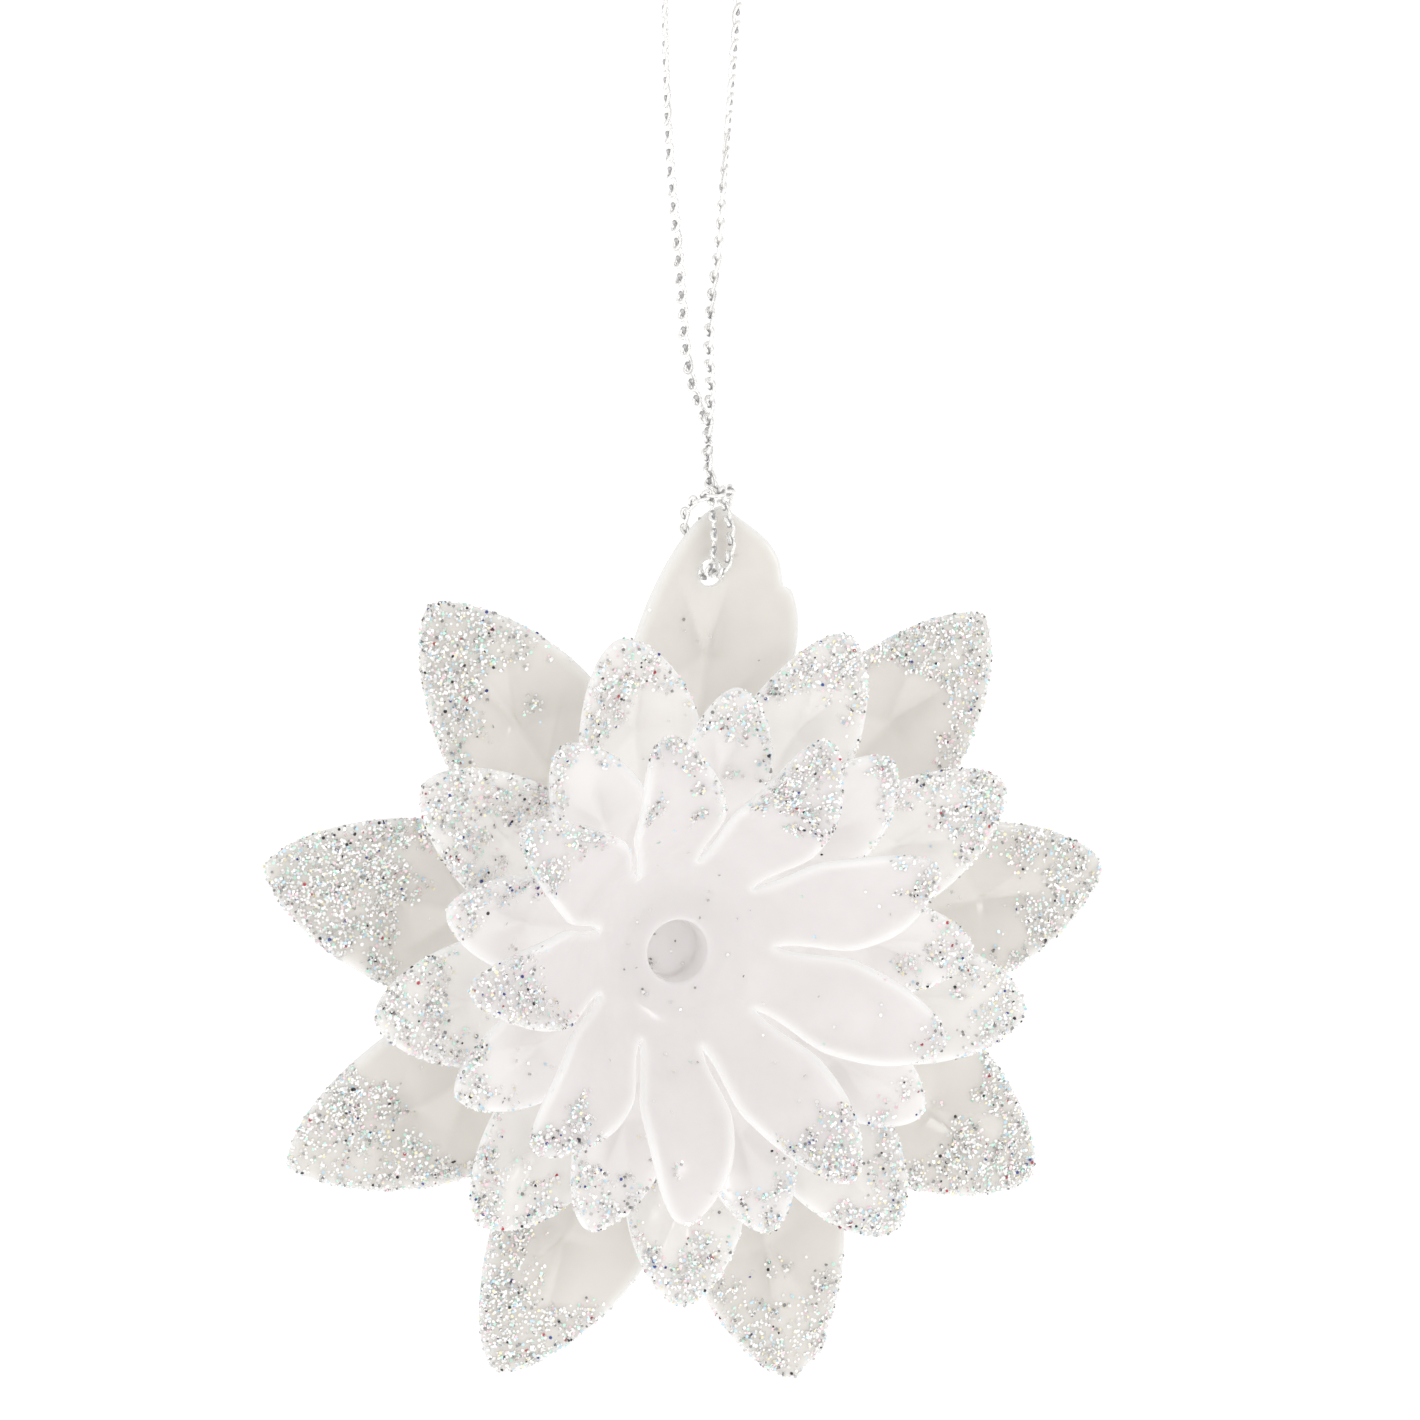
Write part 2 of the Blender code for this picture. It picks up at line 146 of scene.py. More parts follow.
# colour, roughness and share of each kind of flake. The grey, dark and black kinds are painted
# shade: silver flakes painted darker, as they look where they mirror something dark.
FLAKES = {
    "flake_white": ((0.99, 0.99, 0.99), 0.30, 0.44),
    "flake_silver": ((0.84, 0.84, 0.83), 0.25, 0.18),
    "flake_grey_painted_shade": ((0.62, 0.62, 0.61), 0.25, 0.11),
    "flake_dark_painted_shade": ((0.34, 0.34, 0.34), 0.25, 0.055),
    "flake_black_painted_shade": ((0.07, 0.07, 0.08), 0.25, 0.011),
    "flake_pink": ((0.98, 0.72, 0.80), 0.30, 0.04),
    "flake_green": ((0.62, 0.95, 0.82), 0.30, 0.05),
    "flake_blue": ((0.62, 0.84, 0.99), 0.30, 0.045),
    "flake_yellow": ((0.98, 0.92, 0.66), 0.30, 0.03),
    "flake_navy": ((0.08, 0.10, 0.32), 0.25, 0.006),
    "flake_red": ((0.50, 0.10, 0.12), 0.25, 0.004),
}
# For each petal, how far along it its glitter begins on its anticlockwise side, in its middle and
# on its clockwise side, from 0 at the notch to 1 at the tip, and how dense it is.
GLITTER = {
    "back_petal_tier": [
        (1.10, 1.30, 1.30, 0.5), (0.52, 0.68, 0.36, 1.0), (0.45, 0.70, 0.50, 0.8),
        (0.52, 0.56, 0.44, 1.0), (0.58, 0.64, 0.50, 0.9), (0.64, 0.60, 0.34, 1.0),
        (0.36, 0.50, 0.60, 1.0), (0.46, 0.38, 0.30, 1.0), (0.32, 0.62, 0.45, 1.0),
    ],
    "second_petal_tier": [
        (0.50, 0.62, 0.62, 0.8), (0.48, 0.72, 0.55, 1.0), (0.48, 0.60, 0.58, 1.0),
        (0.62, 0.66, 0.58, 0.8), (0.36, 0.76, 0.62, 1.0), (0.62, 0.56, 0.46, 0.9),
        (0.62, 0.64, 0.52, 0.9), (0.56, 0.64, 0.60, 0.8), (0.38, 0.50, 0.28, 1.0),
    ],
    "third_petal_tier": [
        (0.74, 0.78, 0.72, 0.8), (0.62, 0.70, 0.52, 0.9), (0.78, 0.80, 0.58, 1.0),
        (0.72, 0.78, 0.76, 0.7), (0.86, 0.90, 0.86, 0.6), (0.74, 0.80, 0.72, 0.7),
        (0.80, 0.74, 0.70, 1.0), (0.80, 0.74, 0.62, 0.9), (0.86, 0.74, 0.50, 0.6),
    ],
    "front_petal_tier": [
        (0.68, 0.74, 0.60, 1.0), (0.74, 0.76, 0.52, 0.8), (0.42, 0.58, 0.60, 1.0),
        (0.84, 0.86, 0.88, 0.7), (0.80, 0.82, 0.92, 0.8), (0.70, 0.68, 0.62, 1.0),
        (0.94, 0.95, 0.98, 0.8), (0.76, 0.72, 0.86, 1.0), (0.50, 0.62, 0.68, 0.8),
    ],
}
# Stray flakes about the front hub: radius, angle in degrees and how many
HUB_SPECKS = [
    (5.8, -7, 1), (9.2, 28, 1), (7.6, 26, 1), (8.1, -23, 1), (9.6, 64, 1), (7.4, 62, 1), (6.5, 58, 1),
    (5.9, 124, 1), (11.0, 108, 1), (6.0, 143, 1), (5.9, 168, 1), (5.1, 197, 1), (6.5, 194, 1),
    (5.8, 226, 6), (5.7, 261, 1), (6.5, 272, 1), (4.6, -65, 1), (2.1, 137, 1), (0.7, -60, 1),
    (1.0, 30, 1), (4.4, 56, 1), (2.6, 225, 9), (11.3, 174, 1), (2.7, -50, 1),
]

# Cord
CORD_RADIUS = 0.55
STITCH = 1.94  # length of one chain stitch
STITCH_WIDE = 0.335  # how far a stitch's yarn swings to each side
STITCH_DEEP = 0.16  # and to the front and back
STITCH_REACH = 0.50 * STITCH  # how far it doubles back along the cord
TURN_PER_MM = 0.05  # slow turn of the whole chain
YARN_RADIUS = 0.215
YARN_SIDES = 8
ROUTE_STEP = 0.25
KNOT_STEP = 0.15
CUT_Z = -68.0  # where the legs' pieces meet the hitch's piece, on the neck
LEG_LEFT = [
    (0.50, 0.52, -66.5), (-1.20, 0.25, -62.0), (-2.20, 0, -57.6), (-2.65, 0, -52.0), (-3.10, 0, -46.7),
    (-3.65, 0, -41.0), (-4.10, 0, -35.5), (-4.40, 0, -28.0), (-4.55, 0, -20.3), (-4.40, 0, -12.5),
    (-3.60, 0, -6.5), (-2.35, 0, -2.6), (-1.15, 0, -0.55),
]
LEG_RIGHT = [
    (0.10, -0.55, -66.5), (0.55, -0.30, -62.0), (0.45, 0, -57.6), (0.80, 0, -52.0), (1.55, 0, -46.8),
    (2.10, 0, -40.0), (2.85, 0, -31.0), (3.35, 0, -25.5), (3.75, 0, -20.5), (4.05, 0, -12.5),
    (3.50, 0, -6.5), (2.35, 0, -2.6), (1.15, 0, -0.55),
]
TAIL_LEFT = [(-0.55, 0.0, 3.75), (-0.95, -0.1, 5.2), (-1.55, -0.2, 6.6), (-2.35, -0.2, 7.7)]
TAIL_RIGHT = [(0.75, 0.0, 3.7), (1.05, 0.1, 5.0), (1.35, 0.2, 6.3), (1.45, 0.3, 7.6)]
HITCH = [
    (0.55, 0.45, -69.90), (0.25, -0.45, -71.40), (0.00, -1.70, -73.20), (-0.10, -2.74, -75.11),
    (-0.12, -3.35, -77.31), (-0.35, -3.69, -79.54), (-0.80, -3.77, -81.04), (-1.06, -3.31, -82.03),
    (-1.07, -2.64, -82.13), (-1.12, -1.67, -81.70), (-1.30, -0.88, -80.57), (-1.85, -0.41, -78.89),
    (-2.30, -0.11, -77.22), (-2.50, -0.49, -75.66), (-2.25, -1.39, -74.38), (-1.50, -2.75, -73.30),
    (0.35, -3.50, -72.80), (1.85, -2.75, -72.60), (2.50, -1.40, -72.90), (2.70, 0.05, -73.90),
    (2.45, 0.41, -75.66), (1.75, -0.11, -77.96), (0.99, -0.76, -80.20), (0.48, -1.54, -81.61),
    (0.38, -2.64, -82.13), (0.45, -3.31, -82.03), (0.90, -3.77, -81.14), (1.50, -3.75, -79.54),
    (1.75, -3.40, -77.31), (1.45, -2.80, -75.11), (0.85, -1.95, -73.20), (0.25, -1.05, -71.40),
    (0.05, -0.60, -69.90),
]
KNOT_CENTRE = (0.0, 0.0, 1.75)
KNOT_RADII = (1.9, 1.5, 1.7)


# ---------------------------------------------------------------- helpers


def smooth(t):
    t = np.clip(t, 0.0, 1.0)
    return t * t * (3 - 2 * t)


def unit(vectors):
    return vectors / np.maximum(np.linalg.norm(vectors, axis=-1, keepdims=True), 1e-12)


def to_frame(points):
    """Flower coordinates (x, height, z) in millimetres, to the frame's in metres."""
    points = np.asarray(points, float)
    turned = np.stack([points[..., 0], -points[..., 1], points[..., 2]], axis=-1)
    return (turned + np.array(CENTRE)) * MM


def mesh_object(name, points, faces, materials, smooth_deg=None):
    """points are in metres, in the frame."""
    mesh = bpy.data.meshes.new(name)
    mesh.from_pydata(points.tolist(), [], faces)
    mesh.validate()
    if smooth_deg is not None:
        mesh.shade_smooth()
        mesh.set_sharp_from_angle(angle=math.radians(smooth_deg))
    for item in materials:
        mesh.materials.append(item)
    obj = bpy.data.objects.new(name, mesh)
    bpy.context.scene.collection.objects.link(obj)
    return obj


def point_values(obj, name, values):
    attribute = obj.data.attributes.new(name, "FLOAT", "POINT")
    attribute.data.foreach_set("value", np.asarray(values, np.float32))


# ---------------------------------------------------------------- materials


class Nodes:
    """A short way to write a material's node tree."""

    def __init__(self, name):
        self.material = bpy.data.materials.new(name)
        self.material.use_nodes = True
        self.tree = self.material.node_tree
        self.shader = self.tree.nodes["Principled BSDF"]

    def add(self, kind, **values):
        node = self.tree.nodes.new("ShaderNode" + kind)
        for key, value in values.items():
            setattr(node, key, value)
        return node

    def link(self, source, target):
        self.tree.links.new(source, target)

    def set(self, **values):
        for key, value in values.items():
            self.shader.inputs[key.replace("_", " ")].default_value = value

    def place(self):
        """Object coordinates in millimetres."""
        coordinates = self.add("TexCoord")
        scale = self.add("VectorMath", operation="SCALE")
        scale.inputs["Scale"].default_value = 1 / MM
        self.link(coordinates.outputs["Object"], scale.inputs[0])
        return scale.outputs[0]

    def noise(self, size, detail=2.0, rough=0.5, where=None):
        """A noise pattern whose features are about size millimetres across."""
        node = self.add("TexNoise")
        node.inputs["Scale"].default_value = 1 / size
        node.inputs["Detail"].default_value = detail
        node.inputs["Roughness"].default_value = rough
        self.link(where or self.place(), node.inputs["Vector"])
        return node.outputs["Fac"]

    def attribute(self, name):
        return self.add("Attribute", attribute_name=name).outputs["Fac"]

    def ramp(self, source, low, high, from_value=0.3, to_value=0.7):
        """Maps source between two colours or two numbers."""
        numbers = isinstance(low, float)
        if numbers:
            node = self.add("MapRange")
            node.inputs["From Min"].default_value = from_value
            node.inputs["From Max"].default_value = to_value
            node.inputs["To Min"].default_value = low
            node.inputs["To Max"].default_value = high
            self.link(source, node.inputs["Value"])
            return node.outputs["Result"]
        node = self.add("ValToRGB")
        node.color_ramp.elements[0].position = from_value
        node.color_ramp.elements[0].color = (*low, 1)
        node.color_ramp.elements[1].position = to_value
        node.color_ramp.elements[1].color = (*high, 1)
        self.link(source, node.inputs["Fac"])
        return node.outputs["Color"]

    def mix(self, amount, first, second):
        node = self.add("Mix", data_type="RGBA")
        for value, socket in ((amount, 0), (first, 6), (second, 7)):
            if isinstance(value, (tuple, float)):
                node.inputs[socket].default_value = value
            else:
                self.link(value, node.inputs[socket])
        return node.outputs[2]

    def bump(self, height, depth, below=None):
        """depth is in millimetres for a full step of height."""
        node = self.add("Bump")
        node.inputs["Strength"].default_value = 1.0
        node.inputs["Distance"].default_value = depth * MM
        self.link(height, node.inputs["Height"])
        if below is not None:
            self.link(below, node.inputs["Normal"])
        return node.outputs["Normal"]


def milky_plastic(name, tint_and_painted_light, hue):
    """Milky translucent moulded plastic: cloudy inside and satin outside. Near its edges it is
    painted whiter as a painted highlight, and beside its veins it has painted shade.
    """
    n = Nodes(name)
    where = n.place()
    # each whorl's lightness is partly painted light, for the light the stacked whorls send back
    low = tuple(part * (tint_and_painted_light - 0.012) for part in hue)
    high = tuple(part * (tint_and_painted_light + 0.012) for part in hue)
    cloud = n.ramp(n.noise(6.0, 3.0, 0.6, where), low, high, 0.35, 0.65)
    rim = n.attribute("rim")
    rim_highlight_white = min(tint_and_painted_light + 0.20, 0.98)
    # painted shade: one side of each vein is mixed towards black
    shaded = n.mix(n.ramp(n.attribute("shade"), 0.0, 0.11, 0.0, 1.0), cloud, (0.0, 0.0, 0.0, 1.0))
    # painted highlight: towards a petal's edges the colour is mixed towards white
    colour = n.mix(n.ramp(rim, 0.0, 0.50, 0.0, 1.0), shaded, (rim_highlight_white, rim_highlight_white, rim_highlight_white * 0.99, 1))
    n.link(colour, n.shader.inputs["Base Color"])
    n.link(n.ramp(n.noise(2.2, 4.0, 0.6, where), 0.14, 0.26), n.shader.inputs["Roughness"])
    grain = n.bump(n.noise(0.35, 2.0, 0.5, where), 0.006)
    waves = n.bump(n.noise(3.0, 2.0, 0.5, where), 0.05, grain)
    n.link(waves, n.shader.inputs["Normal"])
    n.set(IOR=1.49, Subsurface_Weight=1.0, Subsurface_Scale=3.0 * MM)
    n.set(Subsurface_Radius=(1.0, 0.98, 0.95))
    return n.material


def flake_materials():
    made = []
    for name, (colour, roughness, _) in FLAKES.items():
        n = Nodes(name)
        n.set(Base_Color=(*colour, 1), Roughness=roughness, Metallic=1.0)
        made.append(n.material)
    return made


def cord_material():
    """Metallised yarn: bright foil where it lies outside, and painted shade where a yarn dips under its
    neighbours.
    """
    n = Nodes("metallic_yarn")
    depth = n.attribute("depth")
    # painted shade: the deeper the yarn lies in the cord, the darker it is painted
    colour = n.ramp(depth, (0.40, 0.40, 0.41), (0.97, 0.97, 0.96), 0.0, 0.25)
    n.link(colour, n.shader.inputs["Base Color"])
    turns = n.attribute("filament")
    wave = n.add("Math", operation="SINE")
    n.link(turns, wave.inputs[0])
    n.link(n.bump(wave.outputs[0], 0.02), n.shader.inputs["Normal"])
    n.link(n.ramp(n.noise(0.4), 0.18, 0.38), n.shader.inputs["Roughness"])
    n.set(Metallic=0.7)
    return n.material


# ---------------------------------------------------------------- petals


def hub_height(index):
    from_front = len(WHORLS) - 1 - index
    return HUB_FACE - SHEET / 2 - from_front * (SHEET + GAP)


def sheet_height(w, hub, radius, across):
    beyond = radius - HUB_FLAT
    eased = np.where(np.abs(beyond) < HUB_EASE, (beyond + HUB_EASE) ** 2 / (4 * HUB_EASE), beyond)
    along = np.maximum(0.0, eased) / (w["tip"] - HUB_FLAT)
    cup = w["cup"] * across**2 * smooth(along * 1.6) * (1 - smooth(along * 2 - 1))
    lip = w["lip"] * across**6 * smooth(along * 4) * (1 - smooth(along * 2.2 - 1.1))
    return hub + (w["lift"] - hub) * along * (1 + w["arch"] * (1 - along)) + cup + lip


def half_width(w, radius):
    chord = w["notch"] * math.sin(math.radians(PITCH_DEG / 2))
    opening = np.clip((radius - w["notch"]) / (w["broad"] - w["notch"]), 0, 1)
    inner = chord + (w["half"] - chord) * smooth(opening ** w["open"])
    to_tip = np.clip((radius - w["broad"]) / (w["tip"] - w["broad"]), 0, 1)
    outer = w["half"] * (1 - to_tip ** w["taper"]) ** w["blunt"]
    return np.where(radius <= w["broad"], inner, outer)


def columns_of(w):
    """Places across a petal from -1 to 1, closer together along its edges."""
    inner = np.linspace(EDGE_COLUMNS[-1], 1.0, w["columns"] + 1)[1:]
    side = np.concatenate([EDGE_COLUMNS, inner]) - 1
    return np.concatenate([side, -side[-2::-1]])


def rows_of(w):
    """Places along a petal from its notch to its tip, closer together at both ends."""
    t = np.linspace(0, 1, w["rows"] + 1)
    return t - 0.10 * np.sin(2 * np.pi * t)


def veins(w, rng):
    """The creases of one petal: (start, angle in degrees, length, depth, width, other width)."""
    span = w["tip"] - w["notch"]
    side = rng.choice((-1, 1))
    fork = w["notch"] + span * rng.uniform(0.30, 0.42)
    length = span * 0.42
    fine = span / 26
    made = [
        (fork, side * rng.uniform(20, 28), length, w["vein"], 0.9 * fine, 2.4 * fine),
        (fork, -side * rng.uniform(6, 12), length, w["vein"] * 0.8, 2.2 * fine, 1.0 * fine),
    ]
    for where, turn in ((rng.uniform(-0.02, 0.05), -side), (rng.uniform(0.05, 0.16), side)):
        start = w["notch"] + span * where
        angle = turn * rng.uniform(36, 48)
        made.append((start, angle, span * 0.42, w["vein"] * 0.9, 1.4 * fine, 2.6 * fine))
    return fork, made


def relief(w, s, x, creases):
    """Moulded veins on a petal, as heights, and painted shade beside them: how much darker one side
    of each crease is painted. s runs outwards along the petal's middle, x to its side."""
    height, shade = np.zeros_like(s), np.zeros_like(s)
    if w["fold"] == 0:
        return height, shade
    fork, made = creases
    reach = smooth((s - HUB_FLAT) / 8) * (1 - smooth((s - fork) / (w["tip"] - fork) * 1.6))
    height -= w["fold"] * reach * np.exp(-np.abs(x) / (0.35 * w["half"]))
    shade += 0.9 * reach * smooth(x / 0.8 + 0.5) * np.exp(-np.abs(x) / (0.45 * w["half"]))
    for start, angle, length, depth, wide, other in made:
        turn = math.radians(angle)
        beside = x * math.copysign(1, angle)
        c = (s - start) * math.cos(turn) + x * math.sin(turn)
        d = -(s - start) * math.sin(turn) + x * math.cos(turn)
        d = d * math.copysign(1, angle)
        fade = smooth(c / (0.12 * length)) * (1 - smooth((c - 0.45 * length) / (0.55 * length)))
        fade = fade * smooth(beside / 0.6 + 0.4)
        height -= depth * fade * np.exp(-np.abs(d) / np.where(d > 0, wide, other))
        shade += fade * smooth(d / 1.0 + 0.5) * np.exp(-np.abs(d) / (1.6 * other))
    return height, shade


def middle_sheet(name, index, w, bore):
    """The sheet in the middle of a whorl's wall: its points, faces and edge distances, each petal's
    grid of points, the grids' places across a petal, and how dark each point's painted shade is."""
    rng = np.random.default_rng(SEED * 100 + index)
    hub = hub_height(index)
    across = columns_of(w)
    along = rows_of(w)
    count = len(across) - 1
    flat = np.linspace(bore, HUB_FLAT, 8)
    rising = np.linspace(HUB_FLAT, w["notch"], max(8, int((w["notch"] - HUB_FLAT) / 0.55)))[1:]
    near = w["notch"] - np.array([0.0, 0.06, 0.16, 0.32])
    radii = np.unique(np.round(np.concatenate([flat, rising, near]), 4))
    creases = [veins(w, rng) for _ in range(PETALS)]

    spots, ring_shades = [], []
    for petal in range(PETALS):
        turn = np.radians(w["phase"] - petal * PITCH_DEG - across[:-1] * PITCH_DEG / 2)
        r = radii[:, None] + 0 * turn[None, :]
        a = across[None, :-1] + 0 * r
        lift = sheet_height(w, hub, r, a)
        veined, shade = relief(w, r, r * np.sin(np.radians(a * PITCH_DEG / 2)), creases[petal])
        lift += veined
        ring_shades.append(shade)
        spots.append(np.stack([r * np.cos(turn), lift, r * np.sin(turn)], axis=-1))
    rings = np.concatenate(spots, axis=1)
    shades = [np.concatenate(ring_shades, axis=1).ravel()]
    around = PETALS * count
    points = [rings.reshape(-1, 3)]
    faces = []
    for i in range(len(radii) - 1):
        for j in range(around):
            k = (j + 1) % around
            faces.append((i * around + j, i * around + k, (i + 1) * around + k, (i + 1) * around + j))

    total = len(radii) * around
    notch_ring = (len(radii) - 1) * around
    grids, rims = [], []
    for petal in range(PETALS):
        u = along[1:-1, None]
        a = across[None, :] + 0 * u
        radius = w["notch"] + (w["tip"] - w["notch"]) * u + 0 * a
        wide = half_width(w, radius)
        sideways = a * (wide - nick(name, petal, radius, a))
        bow = w["notch"] * (1 - np.cos(np.radians(a * PITCH_DEG / 2))) * (1 - u) ** 2
        outward = radius - bow + w["reach"][petal] * u * u
        turn = np.radians(w["phase"] - petal * PITCH_DEG + w["lean"][petal] * smooth(u))
        x = outward * np.cos(turn) + sideways * np.sin(turn)
        z = outward * np.sin(turn) - sideways * np.cos(turn)
        veined, shade = relief(w, radius, sideways, creases[petal])
        lift = sheet_height(w, hub, radius, a) + veined
        shades += [shade.ravel(), [0.0]]
        body = np.stack([x, lift, z], axis=-1)
        end = w["tip"] + w["reach"][petal]
        turn = math.radians(w["phase"] - petal * PITCH_DEG + w["lean"][petal])
        top = sheet_height(w, hub, np.array(w["tip"]), 0.0)
        tip = np.array([end * math.cos(turn), float(top), end * math.sin(turn)])
        row0 = [notch_ring + (petal * count + c) % around for c in range(count + 1)]
        grid = [row0]
        for r in range(body.shape[0]):
            grid.append([total + r * (count + 1) + c for c in range(count + 1)])
        points.append(body.reshape(-1, 3))
        points.append(tip[None, :])
        tip_index = total + body.shape[0] * (count + 1)
        for low, high in zip(grid, grid[1:]):
            for c in range(count):
                faces.append((low[c], low[c + 1], high[c + 1], high[c]))
        for c in range(count):
            faces.append((grid[-1][c], grid[-1][c + 1], tip_index))
        total = tip_index + 1
        grids.append(np.array(grid + [[tip_index] * (count + 1)]))
        rims.append([row[0] for row in grid] + [tip_index] + [row[-1] for row in grid[::-1]])
    points = np.concatenate(points)

    edge = edge_distances(points, len(radii) * around, grids, rims, bore)
    return points, faces, edge, grids, across, np.concatenate(shades)


def edge_distances(points, hub_count, grids, rims, bore):
    """How far each point of a whorl is from the nearest edge. The first hub_count are the hub's."""
    edge = np.full(len(points), FAR)
    hub_points = points[:hub_count]
    edge[:hub_count] = np.hypot(hub_points[:, 0], hub_points[:, 2]) - bore
    for grid, rim in zip(grids, rims):
        own = np.unique(grid)
        edge[own] = np.minimum(edge[own], distance_to_line(points[own], points[rim]))
        from_corner = np.linalg.norm(hub_points - points[rim[0]], axis=1)
        edge[:hub_count] = np.minimum(edge[:hub_count], from_corner)
    return edge


def distance_to_line(points, line):
    """Distance of each point from a polyline."""
    best = np.full(len(points), FAR)
    for a, b in zip(line, line[1:]):
        ab = b - a
        size = ab @ ab
        if size < 1e-12:
            continue
        t = np.clip(((points - a) @ ab) / size, 0, 1)
        best = np.minimum(best, np.linalg.norm(points - a - t[:, None] * ab, axis=1))
    return best


def nick(name, petal, radius, across):
    """How far a moulding fault takes a petal's side in: a bite in the top petal's swollen right side,
    and a ragged burr, which stands out, beside the tip of the petal at the lower right."""
    depth = np.zeros_like(radius)
    if name == "back_petal_tier" and petal == 0:
        t = np.clip((radius - BITE_LOW) / (BITE_HIGH - BITE_LOW), 0, 1)
        bite = (1 - t) ** 0.8 * smooth((radius - BITE_LOW) / 0.35)
        depth = BITE_DEPTH * bite * smooth((across - 0.5) / 0.5)
        swollen = smooth((radius - 31.0) / 9.0) * smooth((49.8 - radius) / 4.0)
        depth = depth - SWELLING * swollen * np.clip(across, 0, 1)
    if name == "back_petal_tier" and petal == 4:
        t = (radius - BURR_START) / BURR_LENGTH
        lump = np.where((t > 0) & (t < 1), np.sin(np.pi * np.clip(t, 0, 1)) ** 0.6, 0)
        ragged = 0.75 + 0.25 * np.sin(radius * 9.0) * np.sin(radius * 4.0 + 1)
        depth = -BURR_HEIGHT * lump * ragged * smooth((-across - 0.3) / 0.7)
    return depth


def vertex_normals(points, faces):
    """Area-weighted normals of a mesh of triangles and quads."""
    normals = np.zeros_like(points)
    quads = np.array([f if len(f) == 4 else (*f, f[2]) for f in faces])
    a, b, c, d = (points[quads[:, i]] for i in range(4))
    cross = np.cross(c - a, d - b)
    thin = np.linalg.norm(d - c, axis=1) < 1e-9
    cross[thin] = np.cross(b - a, c - a)[thin]
    for i in range(4):
        np.add.at(normals, quads[:, i], cross)
    return unit(normals)


def walled(points, faces, edge, kept_open):
    """Gives a middle sheet its wall, whose front and back meet at the edge except where it is kept
    open. Returns points, the front's and the back's faces, the back's indices and the normals."""
    normals = vertex_normals(points, faces)
    if normals[:, 1].mean() < 0:
        normals = -normals
    rounding = 1 - np.clip(edge / ROUND, 0, 1)
    half = SHEET / 2 * np.sqrt(np.maximum(1 - rounding**2, 0))
    shared = (edge < 1e-6) & ~kept_open
    front = np.arange(len(points))
    back = np.full(len(points), -1)
    back[shared] = front[shared]
    back[~shared] = len(points) + np.arange((~shared).sum())
    tops = points + normals * half[:, None]
    bottoms = (points - normals * half[:, None])[~shared]
    made = np.concatenate([tops, bottoms])
    top_faces = [tuple(front[list(f)]) for f in faces]
    low_faces = [tuple(back[list(f)][::-1]) for f in faces]
    return made, top_faces, low_faces, back, normals


def outward_faces(points, faces):
    """Turns all faces over if the closed mesh they make is inside out."""
    fans = np.array([(f[0], f[i], f[i + 1]) for f in faces for i in range(1, len(f) - 1)])
    a, b, c = (points[fans[:, i]] for i in range(3))
    volume = np.einsum("ij,ij->", a, np.cross(b, c))
    return faces if volume > 0 else [tuple(f[::-1]) for f in faces]


def turned(points, faces, ring, profile, angles):
    """Carries on from a ring of points along a turned profile of (radius, height), up to the
    profile's end on the axis."""
    count = len(ring)
    last = list(ring)
    for radius, height in profile:
        start = len(points)
        if radius < 1e-6:
            points.append((0.0, height, 0.0))
            for i in range(count):
                faces.append((last[i], last[(i + 1) % count], start))
            return
        for angle in angles:
            points.append((radius * math.cos(angle), height, radius * math.sin(angle)))
        now = list(range(start, start + count))
        for i in range(count):
            j = (i + 1) % count
            faces.append((last[i], last[j], now[j], now[i]))
        last = now


def rounded(profile, radius, steps=4):
    """Rounds the corners of a profile of (radius, height) points, but not its ends."""
    made = [profile[0]]
    for before, corner, after in zip(profile, profile[1:], profile[2:]):
        b, c, a = (np.array(p, float) for p in (before, corner, after))
        into, out = unit(b - c), unit(a - c)
        size = min(radius, 0.45 * np.linalg.norm(b - c), 0.45 * np.linalg.norm(a - c))
        start, end = c + into * size, c + out * size
        for i in range(steps + 1):
            t = i / steps
            made.append(tuple((1 - t) ** 2 * start + 2 * t * (1 - t) * c + t * t * end))
    made.append(profile[-1])
    return made


def recess_and_peg(points, faces, front_ring, back_ring, bore, angles):
    """Closes the front whorl's hub with its round recess in front and its hollow peg behind."""
    face = points[front_ring[0]][1]
    bottom = HUB_FACE - RECESS_DEPTH
    recess = [(bore, face), (RECESS_RADIUS, face), (RECESS_RADIUS - RECESS_DRAFT, bottom), (0.0, bottom)]
    turned(points, faces, front_ring, rounded(recess, 0.5)[1:], angles)
    under = points[back_ring[0]][1]
    inside = bottom - PEG_FLOOR
    peg = [(bore, under), (PEG_RADIUS, under - 0.3), (PEG_RADIUS, PEG_END), (RECESS_RADIUS, PEG_END),
           (RECESS_RADIUS, inside), (0.0, inside)]
    peg_start = len(faces)
    turned(points, faces, back_ring, rounded(peg, 0.25)[1:], angles)
    faces[peg_start:] = [f[::-1] for f in faces[peg_start:]]


